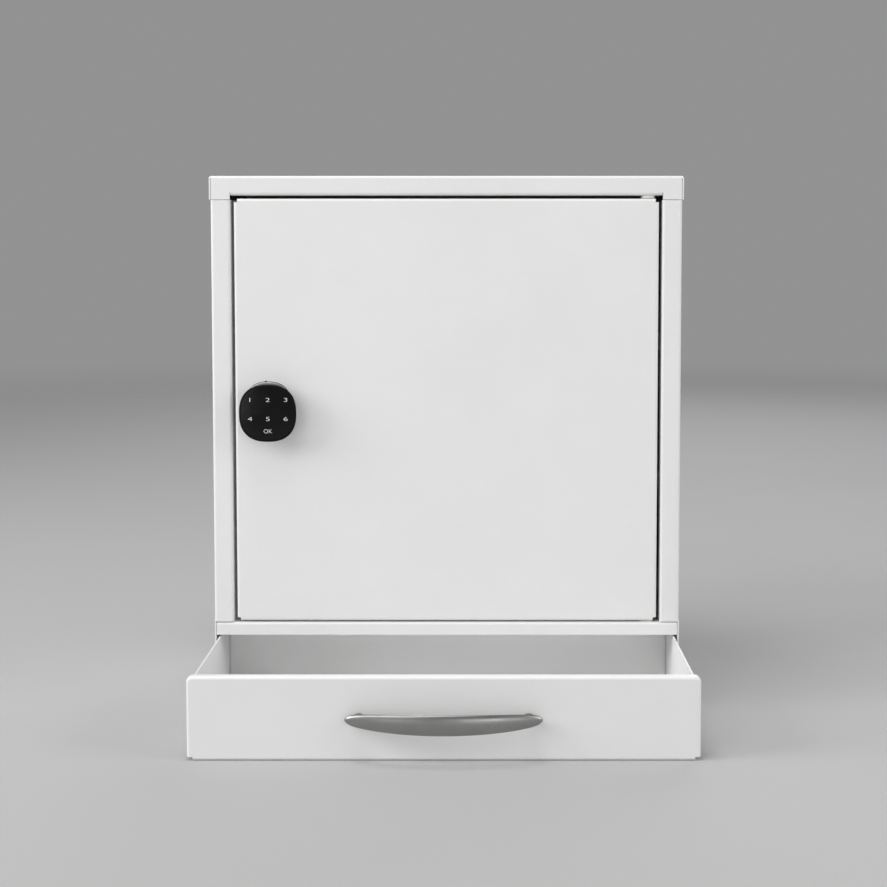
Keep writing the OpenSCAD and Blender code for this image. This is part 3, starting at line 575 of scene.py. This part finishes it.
def plate_ring(inset, y):
    """Outline of the base plate at that depth: its upper and lower halves differ in height."""
    points = []
    for x, z in squircle(1.0, KNOB_SHAPE):
        tall = RING_OVER if z > 0 else KNOB_Z - ring_low.z
        points.append(Vector((
            KNOB_X + RING_SHIFT + x * (RING_WIDE - inset), y, KNOB_Z + z * (tall - inset))))
    return points


def make_base_plate():
    """The satin plate between the knob and the door, with a bore for the spindle barrel."""
    front, back = ring_low.y, ring_high.y
    bore_back, bore_front = (
        oval(KNOB_X, y, KNOB_Z, RING_BORE, RING_BORE, ROUND_STEPS) for y in (back, front))
    rings = [bore_back, plate_ring(0, back)]
    for k in range(6):
        turn = k / 5 * math.pi / 2
        rings.append(plate_ring(
            RING_SOFT * (1 - math.cos(turn)), front + RING_SOFT * (1 - math.sin(turn))))
    rings += [bore_front, bore_back]
    mesh = loft(rings, close_ends=False)
    join_ends(mesh)
    piece = make_object(
        "lock_base_plate", finish_mesh(mesh, "lock_base_plate"), finishes["satin_ring"], "door",
    )
    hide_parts("lock_ring")


def make_shadow_lip():
    """A dark rubber lip under the base plate, put there as painted shade for the shadow line where the
    plate meets the door, with the small upright mark over its middle.
    """
    back = ring_high.y
    rings = [
        plate_ring(SHADOW_LIP_IN, back),
        plate_ring(-SHADOW_LIP_OUT, back),
        plate_ring(-SHADOW_LIP_OUT, back - SHADOW_LIP_THICK * 0.6),
        plate_ring(-SHADOW_LIP_OUT * 0.4, back - SHADOW_LIP_THICK),
        plate_ring(0.02 * MM, back - SHADOW_LIP_THICK),
        plate_ring(SHADOW_LIP_IN, back - SHADOW_LIP_THICK),
    ]
    mesh = loft(rings + rings[:1], close_ends=False)
    join_ends(mesh)
    steps = ((1.1, 0.8, 0), (1.1, 0.8, 2.0), (0.8, 0.55, 2.3))     # half width, half height, how far out
    mark = loft([
        oval(KNOB_X - MARK_LEFT, back - out * MM, KNOB_Z + RING_OVER + MARK_RISE,
             wide * MM, tall * MM, MARK_STEPS)
        for wide, tall, out in steps
    ])
    take_in(mesh, finish_mesh(mark, "mark"))
    bmesh.ops.recalc_face_normals(mesh, faces=mesh.faces)
    # the black lip is painted shade: a dark sheet where the plate's edge meets the door
    make_object(
        "lock_base_shadow_lip", finish_mesh(mesh, "lock_base_shadow_lip"), finishes["black_rubber"], "door",
    )


KEY_PITCH_X = 15.08 * MM
KEY_SHIFT_X = 0.25 * MM
KEY_ROWS_Z = (11.5 * MM, -4.65 * MM)
OK_Z = -15.1 * MM
DIGIT_HIGH = 3.3 * MM
DIGIT_WIDE = 1.75                      # the digits are drawn this much wider than the font's own
OK_HIGH = 3.4 * MM
OK_WIDE = 1.0
THINNER = -0.012                       # offset of the letters' outline, in their own units
INK_THICK = 0.03 * MM


def legend(text, x, z, high, wide):
    """A printed sign as a thin plate of ink on the touch face, facing the front."""
    curve = bpy.data.curves.new("legend_" + text, "FONT")
    curve.body = text
    curve.align_x = "CENTER"
    curve.resolution_u = 6
    curve.offset = THINNER
    holder = bpy.data.objects.new("legend_" + text, curve)
    bpy.context.scene.collection.objects.link(holder)
    graph = bpy.context.evaluated_depsgraph_get()
    data = bpy.data.meshes.new_from_object(holder.evaluated_get(graph))
    bpy.data.objects.remove(holder)
    lows = [min(v.co[k] for v in data.vertices) for k in (0, 1)]
    highs = [max(v.co[k] for v in data.vertices) for k in (0, 1)]
    size = high / (highs[1] - lows[1])
    middle = Vector(((lows[0] + highs[0]) / 2, (lows[1] + highs[1]) / 2, 0))
    spot = Matrix.Translation((KNOB_X + KEY_SHIFT_X + x, 0, KNOB_Z + z))
    upright = Matrix.Rotation(math.pi / 2, 4, "X")
    scale = Matrix.Diagonal((size * wide, size, size, 1))
    data.transform(spot @ upright @ scale @ Matrix.Translation(-middle))
    return data


def make_legends():
    """Digits one to six in two rows and the enter sign below, one ink film."""
    signs = []
    for row, z in enumerate(KEY_ROWS_Z):
        for column in range(3):
            digit = str(1 + 3 * row + column)
            signs.append(legend(digit, (column - 1) * KEY_PITCH_X, z, DIGIT_HIGH, DIGIT_WIDE))
    signs.append(legend("OK", 0, OK_Z, OK_HIGH, OK_WIDE))
    film = bmesh.new()
    for data in signs:
        take_in(film, data)
    bmesh.ops.remove_doubles(film, verts=film.verts, dist=WIDE_WELD)
    top = bmesh.ops.extrude_face_region(film, geom=list(film.faces))
    for v in top["geom"]:
        if isinstance(v, bmesh.types.BMVert):
            v.co.y -= INK_THICK
    for v in film.verts:
        reach = math.hypot(v.co.x - KNOB_X, v.co.z - KNOB_Z) / (FACE_HALF - RIM_ROLL)
        v.co.y += FACE_Y + CROWN * min(1.0, reach) ** 2
    bmesh.ops.recalc_face_normals(film, faces=film.faces)
    make_object(
        "keypad_legends", finish_mesh(film, "keypad_legends"), legend_ink, "lock_knob",
        smooth=False,
    )


make_knob_housing()
make_knob_face()
make_base_plate()
make_shadow_lip()
make_legends()


# ---------------------------------------------------------------- drawer pull
pull_low, pull_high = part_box("drawer_handle")
PULL_Z = (pull_low.z + pull_high.z) / 2
PULL_LONG = pull_high.x - pull_low.x
PULL_HIGH = pull_high.z - pull_low.z
PULL_FRONT = pull_low.y
DRAWER_FACE = pull_high.y
PULL_THICK = 5 * MM
FOOT_X = 66 * MM
FOOT_WIDE = 10 * MM
FOOT_HIGH = 7.2 * MM
FOOT_WAIST = 0.12                      # how much a foot narrows at half its length
FOOT_TAPER = 0.1                       # and how much lower it is at the bow
FOOT_STEPS = 32
TIP_DROP = 16 * MM                     # how far the tips fall behind the middle
TIP_SIZE = 0.12                        # height of the tips, as a share of the middle's
FULLNESS = 0.4                         # lower gives a fuller leaf
TIP_BLUNT = 40.0                       # higher gives blunter tips
THIN_TIP = 0.58                        # thickness of the tips, as a share of the middle's
BOW_STATIONS, BOW_AROUND = 161, 49


def pull_tree():
    """Geometry Nodes for the leaf shaped bow: a grid rolled into a tube that tapers and bends back."""
    tree = bpy.data.node_groups.new("bow_leaf", "GeometryNodeTree")
    tree.is_modifier = True
    for label, kind, value in (
        ("Length", "NodeSocketFloat", PULL_LONG),
        ("Height", "NodeSocketFloat", PULL_HIGH),
        ("Thickness", "NodeSocketFloat", PULL_THICK),
        ("Tip Drop", "NodeSocketFloat", TIP_DROP),
        ("Tip Size", "NodeSocketFloat", TIP_SIZE),
        ("Fullness", "NodeSocketFloat", FULLNESS),
        ("Finish", "NodeSocketMaterial", None),
    ):
        socket = tree.interface.new_socket(label, in_out="INPUT", socket_type=kind)
        if value is not None:
            socket.default_value = value
    tree.interface.new_socket("Geometry", in_out="OUTPUT", socket_type="NodeSocketGeometry")
    given = tree.nodes.new("NodeGroupInput")
    gives = tree.nodes.new("NodeGroupOutput")

    grid = tree.nodes.new("GeometryNodeMeshGrid")
    grid.inputs["Size X"].default_value = 2.0
    grid.inputs["Size Y"].default_value = 2 * math.pi
    grid.inputs["Vertices X"].default_value = BOW_STATIONS
    grid.inputs["Vertices Y"].default_value = BOW_AROUND
    place = tree.nodes.new("GeometryNodeInputPosition")
    split = tree.nodes.new("ShaderNodeSeparateXYZ")
    tree.links.new(place.outputs[0], split.inputs[0])
    along, around = split.outputs[0], split.outputs[1]

    # the stations gather towards the tips, so that the points stay smooth
    station = maths(tree, "SINE", maths(tree, "MULTIPLY", along, math.pi / 2))
    square = maths(tree, "MULTIPLY", station, station)
    taper = maths(tree, "POWER", maths(tree, "MAXIMUM", maths(tree, "SUBTRACT", 1.0, square), 0.0),
                  given.outputs["Fullness"])
    round_off = maths(tree, "POWER", maths(tree, "MAXIMUM", maths(tree, "SUBTRACT", 1.0, maths(
        tree, "POWER", maths(tree, "ABSOLUTE", station), TIP_BLUNT)), 0.0), 0.5)
    width = maths(tree, "MULTIPLY", round_off, maths(
        tree, "ADD", taper, maths(tree, "MULTIPLY", given.outputs["Tip Size"], maths(
            tree, "SUBTRACT", 1.0, taper))))
    body = maths(tree, "MULTIPLY", round_off, maths(
        tree, "ADD", maths(tree, "MULTIPLY", taper, 1 - THIN_TIP), THIN_TIP))

    x = maths(tree, "MULTIPLY", maths(tree, "MULTIPLY", station, given.outputs["Length"]), 0.5)
    z = maths(tree, "MULTIPLY", maths(tree, "MULTIPLY", maths(
        tree, "COSINE", around), width), maths(tree, "MULTIPLY", given.outputs["Height"], 0.5))
    fore = maths(tree, "MULTIPLY", maths(tree, "MULTIPLY", maths(
        tree, "SINE", around), body), maths(tree, "MULTIPLY", given.outputs["Thickness"], 0.5))
    y = maths(tree, "ADD", fore, maths(tree, "MULTIPLY", square, given.outputs["Tip Drop"]))
    join = tree.nodes.new("ShaderNodeCombineXYZ")
    for socket, value in zip(join.inputs, (x, y, z)):
        tree.links.new(value, socket)
    move = tree.nodes.new("GeometryNodeSetPosition")
    tree.links.new(grid.outputs["Mesh"], move.inputs["Geometry"])
    tree.links.new(join.outputs[0], move.inputs["Position"])
    seam = tree.nodes.new("GeometryNodeMergeByDistance")
    seam.inputs["Distance"].default_value = WIDE_WELD
    tree.links.new(move.outputs[0], seam.inputs["Geometry"])
    real = tree.nodes.new("GeometryNodeRealizeInstances")
    tree.links.new(seam.outputs[0], real.inputs[0])
    paint = tree.nodes.new("GeometryNodeSetMaterial")
    tree.links.new(real.outputs[0], paint.inputs["Geometry"])
    tree.links.new(given.outputs["Finish"], paint.inputs["Material"])
    tree.links.new(paint.outputs[0], gives.inputs[0])
    return tree


def bake_tree(tree, values, name):
    """A plain mesh from a Geometry Nodes tree, whose inputs are set by identifier before the first look."""
    holder = bpy.data.objects.new(name, bpy.data.meshes.new(name))
    bpy.context.scene.collection.objects.link(holder)
    modifier = holder.modifiers.new("shape", "NODES")
    modifier.node_group = tree
    for item in tree.interface.items_tree:
        if item.item_type == "SOCKET" and item.in_out == "INPUT" and item.name in values:
            modifier[item.identifier] = values[item.name]
    graph = bpy.context.evaluated_depsgraph_get()
    data = bpy.data.meshes.new_from_object(holder.evaluated_get(graph))
    holder.modifiers.clear()
    bpy.data.objects.remove(holder)
    return data


def make_pull():
    """The bow with its two oval feet, one casting."""
    data = bake_tree(pull_tree(), {"Finish": finishes["satin_nickel"]}, "drawer_pull")
    data.transform(Matrix.Translation((0, PULL_FRONT + PULL_THICK / 2, PULL_Z)))
    mesh = bmesh.new()
    take_in(mesh, data)
    share = FOOT_X / (PULL_LONG / 2)
    under = PULL_FRONT + PULL_THICK / 2 + TIP_DROP * share * share
    for side in (-1, 1):
        rings = []
        for k in range(9):
            up = k / 8
            y = DRAWER_FACE + (under - DRAWER_FACE) * up
            waist = 1 - FOOT_WAIST * math.sin(up * math.pi)
            wide = FOOT_WIDE / 2 * waist
            tall = FOOT_HIGH / 2 * waist * (1 - FOOT_TAPER * up)
            rings.append(oval(side * FOOT_X, y, PULL_Z, wide, tall, FOOT_STEPS))
        take_in(mesh, finish_mesh(loft(rings), "foot"))
    bmesh.ops.recalc_face_normals(mesh, faces=mesh.faces)
    piece = make_object(
        "drawer_pull", finish_mesh(mesh, "drawer_pull"), finishes["satin_nickel"], "drawer",
    )
    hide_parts("drawer_handle")


make_pull()


# ---------------------------------------------------------------- studio
FLOOR_Z = cad_low.z
FLOOR_REACH = 14.0                     # radius of the floor, metres
FADE_NEAR, FADE_FAR = 1.0, 4.5         # the floor goes over into the backdrop between these
STUDIO_LIGHT = 0.29


def make_floor():
    """A plain pale floor that fades into the backdrop far from the cabinet."""
    mesh = bmesh.new()
    bmesh.ops.create_circle(mesh, cap_ends=True, segments=96, radius=FLOOR_REACH)
    data = finish_mesh(mesh, "floor")
    data.transform(Matrix.Translation((0, 0, FLOOR_Z)))
    material, tree, at, shader = new_material("studio_floor", Specular_IOR_Level=0.2)
    grain = place_group(tree, peel_group, Vector=at, Peel_Width=0.004, Grit=0.3)
    handled = place_group(
        tree, handled_group, Vector=at, Base=(0.46, 0.46, 0.46), Worn=(0.45, 0.45, 0.45),
        Share=0.5, Patch_Size=0.6, Gloss_Low=0.7, Gloss_High=0.8,
    )
    feed(tree, shader, handled.outputs["Color"], handled.outputs["Roughness"])
    bump(tree, shader, grain.outputs["Height"], 0.0001, 0.3)
    far = tree.nodes.new("ShaderNodeVectorMath")
    far.operation = "LENGTH"
    tree.links.new(at, far.inputs[0])
    fade = add(
        tree, "ShaderNodeMapRange", interpolation_type="SMOOTHSTEP",
        From_Min=FADE_NEAR, From_Max=FADE_FAR,
    )
    tree.links.new(far.outputs["Value"], fade.inputs[0])
    clear = tree.nodes.new("ShaderNodeBsdfTransparent")
    both = tree.nodes.new("ShaderNodeMixShader")
    tree.links.new(fade.outputs[0], both.inputs[0])
    tree.links.new(shader.outputs[0], both.inputs[1])
    tree.links.new(clear.outputs[0], both.inputs[2])
    tree.links.new(both.outputs[0], tree.nodes["Material Output"].inputs["Surface"])
    floor = bpy.data.objects.new("floor", data)
    bpy.context.scene.collection.objects.link(floor)
    data.materials.append(material)


def soft_light(name, at, aim, size, watts):
    """A rectangular area light at a place, turned to a point."""
    data = bpy.data.lights.new(name, "AREA")
    data.shape = "RECTANGLE"
    data.size, data.size_y = size
    data.energy = watts
    lamp = bpy.data.objects.new(name, data)
    lamp.location = at
    lamp.rotation_euler = (Vector(aim) - Vector(at)).to_track_quat("-Z", "Y").to_euler()
    bpy.context.scene.collection.objects.link(lamp)


def make_world():
    """Even studio light, which is also the plain grey backdrop."""
    world = bpy.data.worlds.new("studio")
    bpy.context.scene.world = world
    world.use_nodes = True
    tree = world.node_tree
    tree.nodes.clear()
    light = add(tree, "ShaderNodeBackground", Color=(1, 1, 1, 1), Strength=STUDIO_LIGHT)
    end = tree.nodes.new("ShaderNodeOutputWorld")
    tree.links.new(light.outputs[0], end.inputs["Surface"])


make_floor()
make_world()
MIDDLE = (0, -0.15, -0.03)
DRAWER = (0, -0.27, -0.2)
BACK = (0, 0, 0)
for lamp in (
    # name, place, what it is turned to, size, watts
    ("key_upper_left", (-1.5, -2.2, 2.0), MIDDLE, (1.7, 1.7), 21),
    ("side_left", (-2.2, -0.9, 0.9), DRAWER, (1.2, 1.2), 34),
    ("side_right", (2.2, -0.9, 0.7), DRAWER, (1.2, 1.2), 18),
    ("overhead", (-0.3, -0.6, 2.2), DRAWER, (1.2, 0.8), 17),
    ("fill_low_right", (0.8, -2.2, 0.05), DRAWER, (1.4, 0.5), 4),
    ("panel_left", (-0.95, -2.3, -0.02), DRAWER, (0.9, 0.5), 1.5),
    ("back_soft", (0.7, 2.3, 1.5), BACK, (2.0, 2.0), 22),
):
    soft_light(*lamp)
